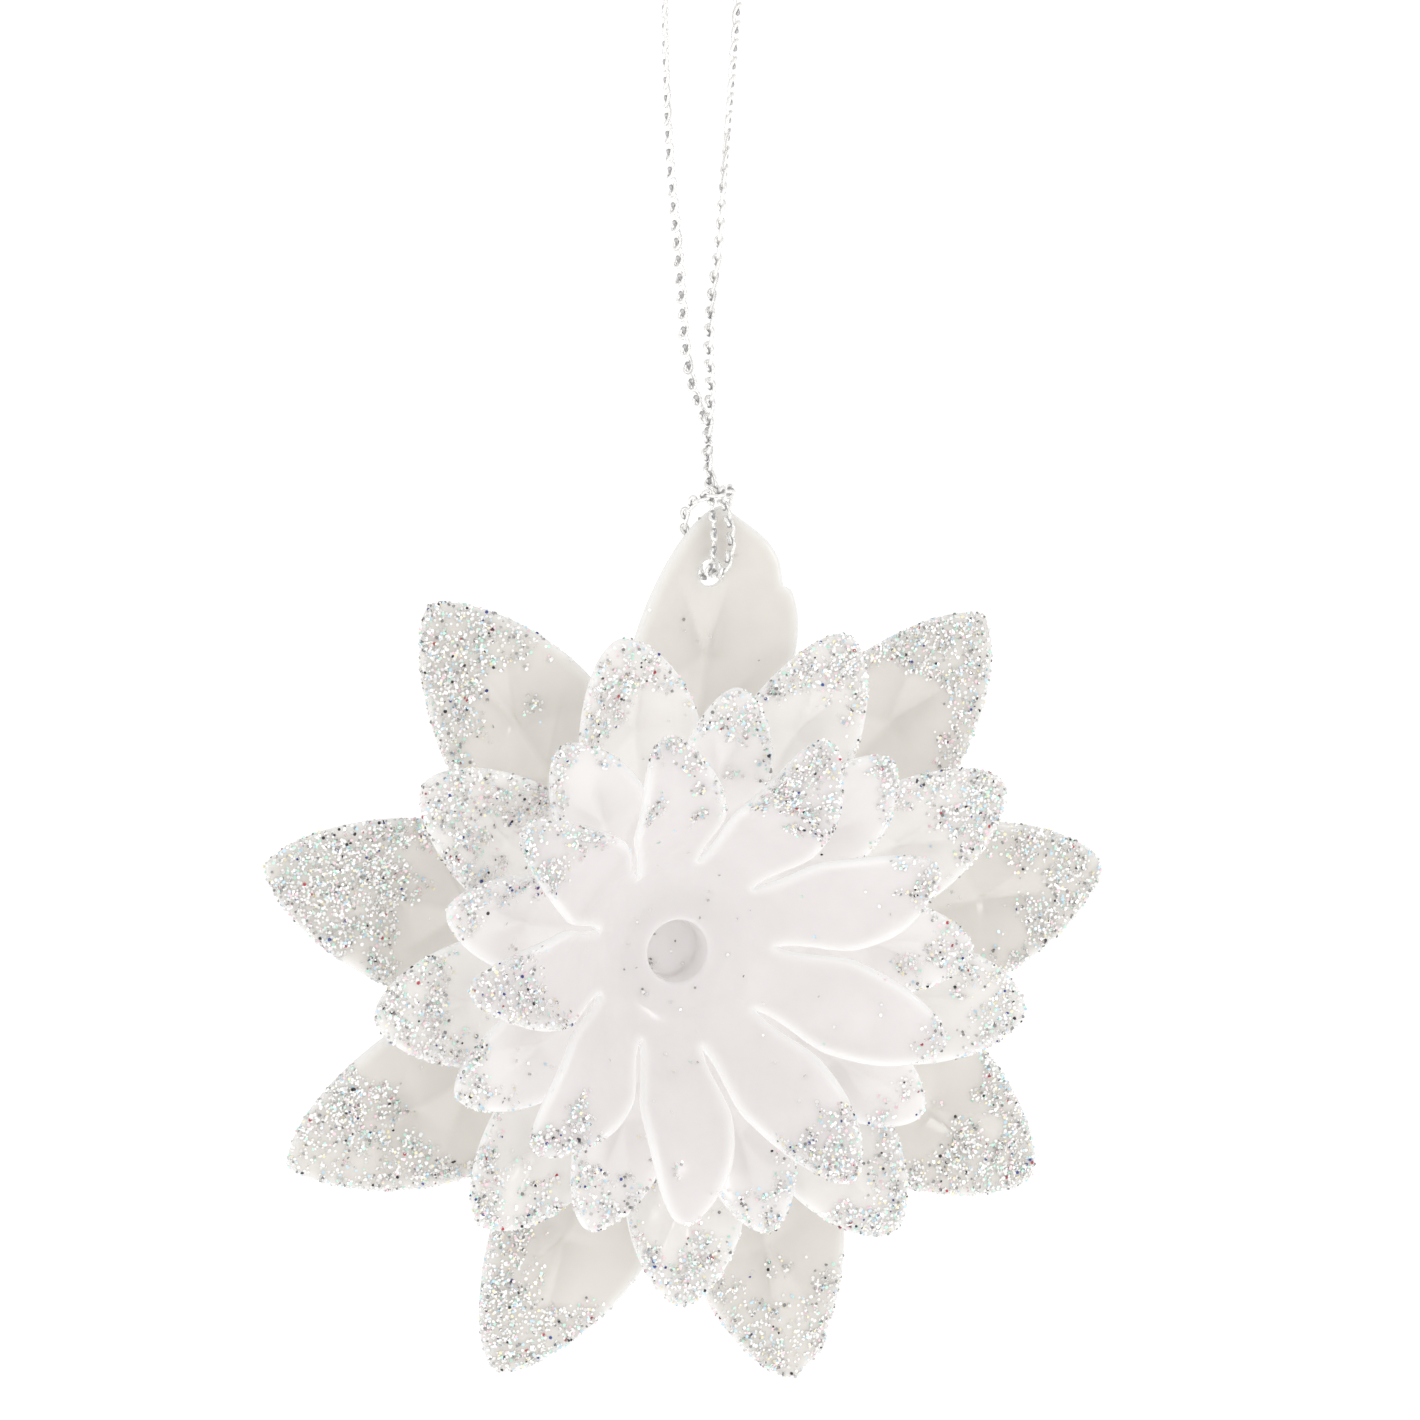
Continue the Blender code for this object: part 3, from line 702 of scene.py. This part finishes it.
def petal_tier(index, name):
    """One moulded whorl and the glitter on it."""
    w = WHORLS[name]
    front_tier = name == "front_petal_tier"
    bore = RECESS_RADIUS + RECESS_RIM if front_tier else PEG_RADIUS + GAP
    points, faces, edge, grids, across, shades = middle_sheet(name, index, w, bore)
    around = PETALS * (len(across) - 1)
    kept_open = np.zeros(len(points), bool)
    if front_tier:
        kept_open[:around] = True
        about_hub = np.hypot(points[:, 0], points[:, 2]) < w["notch"] - 1.5
        edge[about_hub] = FAR
    made, tops, lows, back, normals = walled(points, faces, edge, kept_open)
    every = list(map(tuple, made))
    all_faces = tops + lows
    if front_tier:
        angles = [math.atan2(points[i, 2], points[i, 0]) for i in range(around)]
        recess_and_peg(every, all_faces, list(range(around)), list(back[:around]), bore, angles)
    every = np.array(every)
    world = to_frame(every)
    all_faces = [tuple(int(i) for i in f) for f in all_faces]
    all_faces = outward_faces(world - world.mean(0), all_faces)
    obj = mesh_object(name + "_moulding", world, all_faces,
                      [milky_plastic(name + "_plastic", w["tint_and_painted_light"], w["hue"])], SHARP_DEG)
    # painted rim highlight: how much whiter each point is painted near an edge
    rim = np.zeros(len(every))
    rim_highlight = (1 - np.clip(edge / RIM_HIGHLIGHT, 0, 1)) ** 1.6
    rim[: len(points)] = rim_highlight
    rim[back] = rim_highlight
    point_values(obj, "rim", rim)
    # the painted shade beside the veins, the same on the back as on the front
    shade = np.zeros(len(every))
    shade[: len(points)] = shades
    shade[back] = shades
    point_values(obj, "shade", shade)
    if name == "back_petal_tier":
        cut_hole(obj)
    obj.visible_diffuse = False  # milky plastic hardly dims the soft light on its neighbours
    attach(obj, w["body"])
    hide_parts(name)
    glitter(name, w, made, normals, grids, across)


def hole_place():
    w = WHORLS["back_petal_tier"]
    angle = math.radians(w["phase"] + w["lean"][0] + HOLE_BESIDE_DEG)
    return HOLE_AT * math.cos(angle), HOLE_AT * math.sin(angle)


def cut_hole(obj):
    """The round hole for the cord in the top petal."""
    x, z = hole_place()
    bpy.ops.mesh.primitive_cylinder_add(vertices=48, radius=HOLE_RADIUS * MM, depth=0.012)
    cutter = bpy.context.object
    cutter.rotation_euler = (math.radians(90), 0, 0)
    cutter.location = to_frame((x, 0, z))
    modifier = obj.modifiers.new("hole", "BOOLEAN")
    modifier.operation = "DIFFERENCE"
    modifier.solver = "EXACT"
    modifier.object = cutter
    bpy.context.view_layer.update()
    cut = bpy.data.meshes.new_from_object(obj.evaluated_get(bpy.context.evaluated_depsgraph_get()))
    obj.modifiers.clear()
    obj.data = cut
    bpy.data.objects.remove(cutter, do_unlink=True)


def peg_cap():
    """The flanged cap pushed on the peg's end, with a small gate mark in its middle."""
    front = hub_height(0) - SHEET / 2 - GAP
    end = PEG_END - GAP - CAP_END
    bore = PEG_RADIUS + GAP
    outline = [(0.0, PEG_END - GAP), (bore, PEG_END - GAP), (bore, front),
               (CAP_FLANGE_RADIUS, front), (CAP_FLANGE_RADIUS, front - CAP_FLANGE),
               (CAP_RADIUS, front - CAP_FLANGE), (CAP_RADIUS - 0.1, end), (1.1, end),
               (0.8, end), (0.7, end + 0.35), (0.0, end + 0.35)]
    outline = rounded(outline, 0.3)
    angles = [2 * math.pi * i / TURNED_SIDES for i in range(TURNED_SIDES)]
    points, faces = [(0.0, outline[0][1], 0.0)], []
    first = outline[1]
    ring = []
    for angle in angles:
        ring.append(len(points))
        points.append((first[0] * math.cos(angle), first[1], first[0] * math.sin(angle)))
    for i in range(TURNED_SIDES):
        faces.append((0, ring[i], ring[(i + 1) % TURNED_SIDES]))
    rest_start = len(faces)
    turned(points, faces, ring, outline[2:], angles)
    faces[rest_start:] = [f[::-1] for f in faces[rest_start:]]
    world = to_frame(np.array(points))
    faces = outward_faces(world - world.mean(0), faces)
    plastic = milky_plastic("cap_plastic", CAP_TINT, CAP_HUE)
    obj = mesh_object("peg_cap_moulding", world, faces, [plastic], SHARP_DEG)
    point_values(obj, "rim", np.zeros(len(points)))
    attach(obj, "front_whorl")
    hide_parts("peg_cap")


# ---------------------------------------------------------------- glitter


def patches(x, y, rng, low, high, size=1.1):
    """A patchy field over a petal, about -1 to 1. x, y and size are in millimetres."""
    field = np.zeros_like(x)
    count = int((high[0] - low[0]) * (high[1] - low[1]) / (3.0 * size * size))
    for cx, cy in rng.uniform(low, high, (count, 2)):
        bump = np.exp(-((x - cx) ** 2 + (y - cy) ** 2) / (2 * size * size))
        field += rng.choice((-1.0, 1.0)) * bump
    return field


def coverage(w, begins, along, across, rng):
    """Flakes per square millimetre over a petal."""
    first, middle, last, dense = begins
    start = np.interp(across, (-1, 0, 1), (first, middle, last))
    span = w["tip"] - w["notch"]
    x = across * half_width(w, w["notch"] + span * along)
    y = along * span
    low, high = (-w["half"], 0), (w["half"], span)
    inside = (along - start) * span / 2.2 + 0.6 * np.abs(across) ** 6
    ragged = 0.7 * patches(x, y, rng, low, high) + 0.5 * patches(x, y, rng, low, high, 0.45)
    thinner = np.clip(0.9 + 0.35 * patches(x, y, rng, low, high, 0.8), 0.3, 1.2)
    return dense * FLAKES_PER_MM2 * smooth(0.5 + 0.6 * (inside + ragged)) * thinner + STRAY_PER_MM2


def scattered(front, normals, density, rng):
    """Random places on a petal's front, as points and normals."""
    a, b, c, d = front[:-1, :-1], front[:-1, 1:], front[1:, 1:], front[1:, :-1]
    area = np.linalg.norm(np.cross(c - a, d - b), axis=-1) / 2
    chance = (area * density).ravel()
    cells = rng.choice(chance.size, rng.poisson(chance.sum()), p=chance / chance.sum())
    row, column = np.unravel_index(cells, area.shape)
    s, t = rng.random((2, len(cells), 1))
    weights = ((1 - s) * (1 - t), (1 - s) * t, s * t, s * (1 - t))
    corners = ((row, column), (row, column + 1), (row + 1, column + 1), (row + 1, column))
    places = sum(weight * front[corner] for weight, corner in zip(weights, corners))
    facing = sum(weight * normals[corner] for weight, corner in zip(weights, corners))
    return places, unit(facing)


def hub_specks(rng):
    """Stray flakes on the front whorl's hub and on the floor of its recess."""
    places = []
    for radius, angle, count in HUB_SPECKS:
        for _ in range(count):
            r = radius + rng.normal(0, 0.3 if count > 1 else 0.0)
            turn = math.radians(angle) + rng.normal(0, 0.35 / radius if count > 1 else 0.0)
            w = WHORLS["front_petal_tier"]
            height = float(sheet_height(w, hub_height(3), np.array(r), 0.0)) + SHEET / 2
            if r < RECESS_RADIUS:
                r = min(r, RECESS_RADIUS - 0.45)
                height = HUB_FACE - RECESS_DEPTH
            places.append((r * math.cos(turn), height, r * math.sin(turn)))
    return np.array(places), np.tile((0.0, 1.0, 0.0), (len(places), 1))


def glitter(name, w, made, normals, grids, across):
    """Flakes glued on the petals of a whorl, as one object for each few petals."""
    rng = np.random.default_rng(SEED * 1000 + list(WHORLS).index(name))
    along = rows_of(w)
    groups = []
    u, a = np.meshgrid((along[1:] + along[:-1]) / 2, (across[1:] + across[:-1]) / 2, indexing="ij")
    for grid, begins in zip(grids, GLITTER[name]):
        density = coverage(w, begins, u, a, rng)
        groups.append(scattered(made[grid], normals[grid], density, rng))
    strays = 0
    if name == "front_petal_tier":
        groups.append(hub_specks(rng))
        strays = len(groups[-1][0])
    for first in range(0, PETALS, GLITTER_GROUP):
        chosen = groups[first: first + GLITTER_GROUP]
        final = first + GLITTER_GROUP >= PETALS
        if final:
            chosen = groups[first:]
        places = np.concatenate([spots for spots, _ in chosen])
        facing = np.concatenate([upright for _, upright in chosen])
        made_name = f"{name}_glitter_{first // GLITTER_GROUP + 1}"
        obj = flakes(made_name, to_frame(places) / MM, facing * (1.0, -1.0, 1.0), rng,
                     strays if final else 0)
        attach(obj, w["body"])


def flakes(name, places, facing, rng, strays):
    """Thin six-sided plates lying about, tilted at random. The last few are strays: silver, or grey
    or dark with painted shade.
    """
    count = len(places)
    normal = unit(facing + rng.normal(0, FLAKE_TILT, (count, 3)))
    first = unit(np.cross(normal, rng.normal(0, 1, (count, 3))))
    second = np.cross(normal, first)
    size = rng.uniform(*FLAKE_RADII, (count, 1))
    centre = places + facing * (0.02 + rng.exponential(0.05, (count, 1)))
    corners = []
    for side in (0.5, -0.5):
        for i in range(6):
            turn = math.radians(60 * i)
            reach = math.cos(turn) * first + math.sin(turn) * second
            corners.append(centre + size * reach + side * FLAKE_THICK * normal)
    points = np.stack(corners, axis=1).reshape(-1, 3)
    plate = [tuple(range(6)), tuple(range(11, 5, -1))]
    plate += [(i + 6, (i + 1) % 6 + 6, (i + 1) % 6, i) for i in range(6)]
    faces = [tuple(12 * k + i for i in face) for k in range(count) for face in plate]
    obj = mesh_object(name, points * MM, faces, flake_materials())
    shares = np.array([share for _, _, share in FLAKES.values()])
    kinds = rng.choice(len(FLAKES), count, p=shares / shares.sum())
    # the strays are silver, or grey or dark flakes with painted shade
    stray_kinds = [list(FLAKES).index(kind) for kind in ("flake_silver", "flake_grey_painted_shade", "flake_dark_painted_shade")]
    kinds[count - strays:] = rng.choice(stray_kinds, strays)
    obj.data.polygons.foreach_set("material_index", np.repeat(kinds, len(plate)).astype(np.int32))
    return obj


# ---------------------------------------------------------------- cord


def smooth_route(points, step):
    """Points about one step apart along a centripetal Catmull-Rom curve through points."""
    knots = [Vector(p) for p in points]
    knots = [knots[0] * 2 - knots[1], *knots, knots[-1] * 2 - knots[-2]]
    fine = []
    for a, b, c, d in zip(knots, knots[1:], knots[2:], knots[3:]):
        t1 = (b - a).length ** 0.5
        t2 = t1 + (c - b).length ** 0.5
        t3 = t2 + (d - c).length ** 0.5
        for i in range(24):
            t = t1 + (t2 - t1) * i / 24
            ab = a.lerp(b, t / t1)
            bc = b.lerp(c, (t - t1) / (t2 - t1))
            cd = c.lerp(d, (t - t2) / (t3 - t2))
            abc = ab.lerp(bc, t / t2)
            bcd = bc.lerp(cd, (t - t1) / (t3 - t1))
            fine.append(abc.lerp(bcd, (t - t1) / (t2 - t1)))
    fine.append(knots[-2])
    fine = np.array(fine)
    lengths = np.concatenate([[0], np.cumsum(np.linalg.norm(np.diff(fine, axis=0), axis=1))])
    count = max(2, round(lengths[-1] / step))
    at = np.linspace(0, lengths[-1], count + 1)
    return np.stack([np.interp(at, lengths, fine[:, i]) for i in range(3)], axis=-1)


def frames_along(route):
    """Tangent and two normals at each point of a route, without twist."""
    tangent = unit(np.gradient(route, axis=0))
    first = np.array((0.0, -1.0, 0.0))
    first = unit(first - tangent[0] * (first @ tangent[0]))
    normals = [first]
    for t in tangent[1:]:
        n = normals[-1] - t * (normals[-1] @ t)
        normals.append(unit(n))
    normal = np.array(normals)
    return tangent, normal, np.cross(tangent, normal)


def chain_yarn(route):
    """Centreline of the yarn that is chain-stitched along a route. A stitch goes up one side,
    over its head, down the other side and along the back to the next stitch. Also returns how
    far out of the cord's middle it is, from 0 to 1, and how far along the route."""
    step = np.linalg.norm(np.diff(route, axis=0), axis=1).mean()
    length = step * (len(route) - 1)
    tangent, normal, side = frames_along(route)
    theta = np.linspace(0, 2 * np.pi * length / STITCH, int(26 * length / STITCH) + 1)
    s = STITCH * theta / (2 * np.pi) - STITCH_REACH * np.cos(theta)
    across = STITCH_WIDE * (np.sin(theta) - 0.42 * np.sin(2 * theta))
    out = -STITCH_DEEP * np.cos(2 * theta) + 0.03 * np.cos(theta)
    at = np.clip(s, 0, length) / step
    turn = TURN_PER_MM * s

    def read(values):
        return np.stack([np.interp(at, np.arange(len(route)), values[:, i]) for i in range(3)], -1)

    centre, n, b, t = read(route), unit(read(normal)), unit(read(side)), unit(read(tangent))
    beyond = s - np.clip(s, 0, length)
    x = across * np.cos(turn) - out * np.sin(turn)
    y = across * np.sin(turn) + out * np.cos(turn)
    yarn = centre + b * x[:, None] + n * y[:, None] + t * beyond[:, None]
    return yarn, (np.hypot(across, out) - 0.10) / 0.32, s


def tube(points, radius, sides):
    """A round tube along points: its mesh points, faces and turn around the tube."""
    _, normal, side = frames_along(points)
    angles = np.linspace(0, 2 * np.pi, sides, endpoint=False)
    cosines, sines = np.cos(angles)[None, :, None], np.sin(angles)[None, :, None]
    ring = cosines * normal[:, None] + sines * side[:, None]
    made = (points[:, None] + ring * radius).reshape(-1, 3)
    faces = []
    for i in range(len(points) - 1):
        for j in range(sides):
            k = (j + 1) % sides
            faces.append((i * sides + j, i * sides + k, (i + 1) * sides + k, (i + 1) * sides + j))
    faces.append(tuple(range(sides))[::-1])
    faces.append(tuple(range((len(points) - 1) * sides, len(points) * sides)))
    return made, faces, np.tile(angles, len(points))


def yarn_piece(name, yarn, depth, material):
    points, faces, turn = tube(yarn, YARN_RADIUS, YARN_SIDES)
    obj = mesh_object(name, points * MM, faces, [material], 60)
    # depth is turned into painted shade by the yarn's material
    point_values(obj, "depth", np.repeat(depth, YARN_SIDES))
    along = np.concatenate([[0], np.cumsum(np.linalg.norm(np.diff(yarn, axis=0), axis=1))])
    point_values(obj, "filament", np.repeat(along * 9.0, YARN_SIDES) + turn * 3)
    return obj


def cord(material):
    """The cord from the knot down the left leg, through the hitch and up the right leg."""
    whole = LEG_LEFT[::-1] + HITCH + LEG_RIGHT
    route = smooth_route(whole, ROUTE_STEP)
    yarn, depth, s = chain_yarn(route)
    step = np.linalg.norm(np.diff(route, axis=0), axis=1).mean()
    below = np.flatnonzero(route[:, 2] < CUT_Z)
    first, last = below[0] * step, below[-1] * step
    cuts = {
        "cord_leg_left_yarn": (s < first, route[: below[0] + 1]),
        "cord_hitch_yarn": ((s >= first - 0.1) & (s <= last + 0.1), route[below[0]: below[-1] + 1]),
        "cord_leg_right_yarn": (s > last, route[below[-1]:]),
    }
    made = {}
    for name, (mask, path) in cuts.items():
        own = np.flatnonzero(mask)
        run = np.arange(own[0], own[-1] + 1)
        made[name] = (yarn_piece(name, yarn[run], depth[run], material), path)
    left, left_path = made["cord_leg_left_yarn"]
    right, right_path = made["cord_leg_right_yarn"]
    hitch, hitch_path = made["cord_hitch_yarn"]
    pieces = knot_and_tails(material)
    for leg, path, node in ((left, left_path[::-1], "cord_leg_left"),
                            (right, right_path, "cord_leg_right")):
        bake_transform(leg)
        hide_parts(node)
    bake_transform(hitch)
    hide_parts("cord_hitch", "cord_neck")


def knot_and_tails(material):
    """The overhand knot above the loop and the two cut ends."""
    pieces = []
    t = np.linspace(0, 2 * np.pi, 40)
    rx, ry, rz = (r - CORD_RADIUS for r in KNOT_RADII)
    cx, cy, cz = KNOT_CENTRE
    route = np.stack([
        cx + rx * (np.sin(t) + 0.9 * np.sin(2 * t)) / 1.75,
        cy - ry * np.sin(3 * t),
        cz + rz * (np.cos(t) - 0.9 * np.cos(2 * t)) / 1.75,
    ], axis=-1)
    yarn, depth, _ = chain_yarn(smooth_route(route.tolist(), KNOT_STEP))
    knot = yarn_piece("cord_knot_yarn", yarn, depth, material)
    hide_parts("cord_knot")
    pieces.append(knot)
    for name, points, node in (("cord_tail_left_yarn", TAIL_LEFT, "cord_tail_left"),
                               ("cord_tail_right_yarn", TAIL_RIGHT, "cord_tail_right")):
        yarn, depth, _ = chain_yarn(smooth_route(points, ROUTE_STEP))
        tail = yarn_piece(name, yarn, depth, material)
        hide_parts(node)
        pieces.append(tail)
    for piece in pieces:
        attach(piece, "loop")
    return pieces


# ---------------------------------------------------------------- camera, light and floor

CAMERA_AZIMUTH_DEG = -19.36
CAMERA_ELEVATION_DEG = 11.10
CAMERA_DISTANCE = 877.6
CAMERA_AIM = (3.27, 0.0, 26.89)  # from the flower's centre
CAMERA_LENS = 202.8
FLOOR_Z = -0.36
WORLD_COLOUR = (1.0, 0.985, 0.97, 1)
WORLD_STRENGTH = 0.84
KEY = dict(direction=(0.62, -0.75, 0.35), distance=0.7, size=(0.08, 0.20), power=0.42)
FILL = dict(direction=(-0.8, -0.5, 0.3), distance=0.9, size=(0.6, 0.6), power=0.9)


def camera():
    turn, rise = math.radians(CAMERA_AZIMUTH_DEG), math.radians(CAMERA_ELEVATION_DEG)
    away = Vector((math.sin(turn) * math.cos(rise), -math.cos(turn) * math.cos(rise),
                   math.sin(rise)))
    data = bpy.data.cameras.new("camera")
    data.lens = CAMERA_LENS
    data.sensor_width = 36.0
    data.clip_start = 0.05
    data.clip_end = 100.0
    obj = bpy.data.objects.new("camera", data)
    bpy.context.scene.collection.objects.link(obj)
    obj.location = (CENTRE + away * CAMERA_DISTANCE) * MM
    aim = (CENTRE + Vector(CAMERA_AIM)) * MM
    obj.rotation_euler = (aim - obj.location).to_track_quat("-Z", "Y").to_euler()
    bpy.context.scene.camera = obj


def soft_box(name, direction, distance, size, power):
    """An area light that shines at the flower from a direction. Distance and size in metres."""
    data = bpy.data.lights.new(name, "AREA")
    data.shape = "RECTANGLE"
    data.size, data.size_y = size
    data.energy = power
    obj = bpy.data.objects.new(name, data)
    bpy.context.scene.collection.objects.link(obj)
    target = CENTRE * MM
    obj.location = target + Vector(direction).normalized() * distance
    obj.rotation_euler = (target - obj.location).to_track_quat("-Z", "Y").to_euler()


def studio():
    world = bpy.data.worlds.new("studio")
    world.use_nodes = True
    background = world.node_tree.nodes["Background"]
    background.inputs["Color"].default_value = WORLD_COLOUR
    background.inputs["Strength"].default_value = WORLD_STRENGTH
    bpy.context.scene.world = world
    soft_box("key", **KEY)
    soft_box("fill", **FILL)
    floor()
    bpy.context.scene.view_settings.view_transform = "Standard"


def floor():
    """A plain white floor that glows a little, so that it stays white under the flower."""
    n = Nodes("floor_white")
    n.link(n.ramp(n.noise(60.0), (0.985, 0.985, 0.985), (1.0, 1.0, 1.0)),
           n.shader.inputs["Base Color"])
    n.set(Roughness=1.0, Specular_IOR_Level=0.0, Emission_Color=(1, 1, 1, 1))
    n.set(Emission_Strength=0.25)
    bpy.ops.mesh.primitive_circle_add(vertices=96, radius=9.0, fill_type="NGON",
                                      location=(0, 0, FLOOR_Z))
    sheet = bpy.context.object
    sheet.name = "floor"
    sheet.data.materials.append(n.material)


def build():
    camera()
    cord(cord_material())
    for index, name in enumerate(WHORLS):
        petal_tier(index, name)
    peg_cap()
    studio()


build()
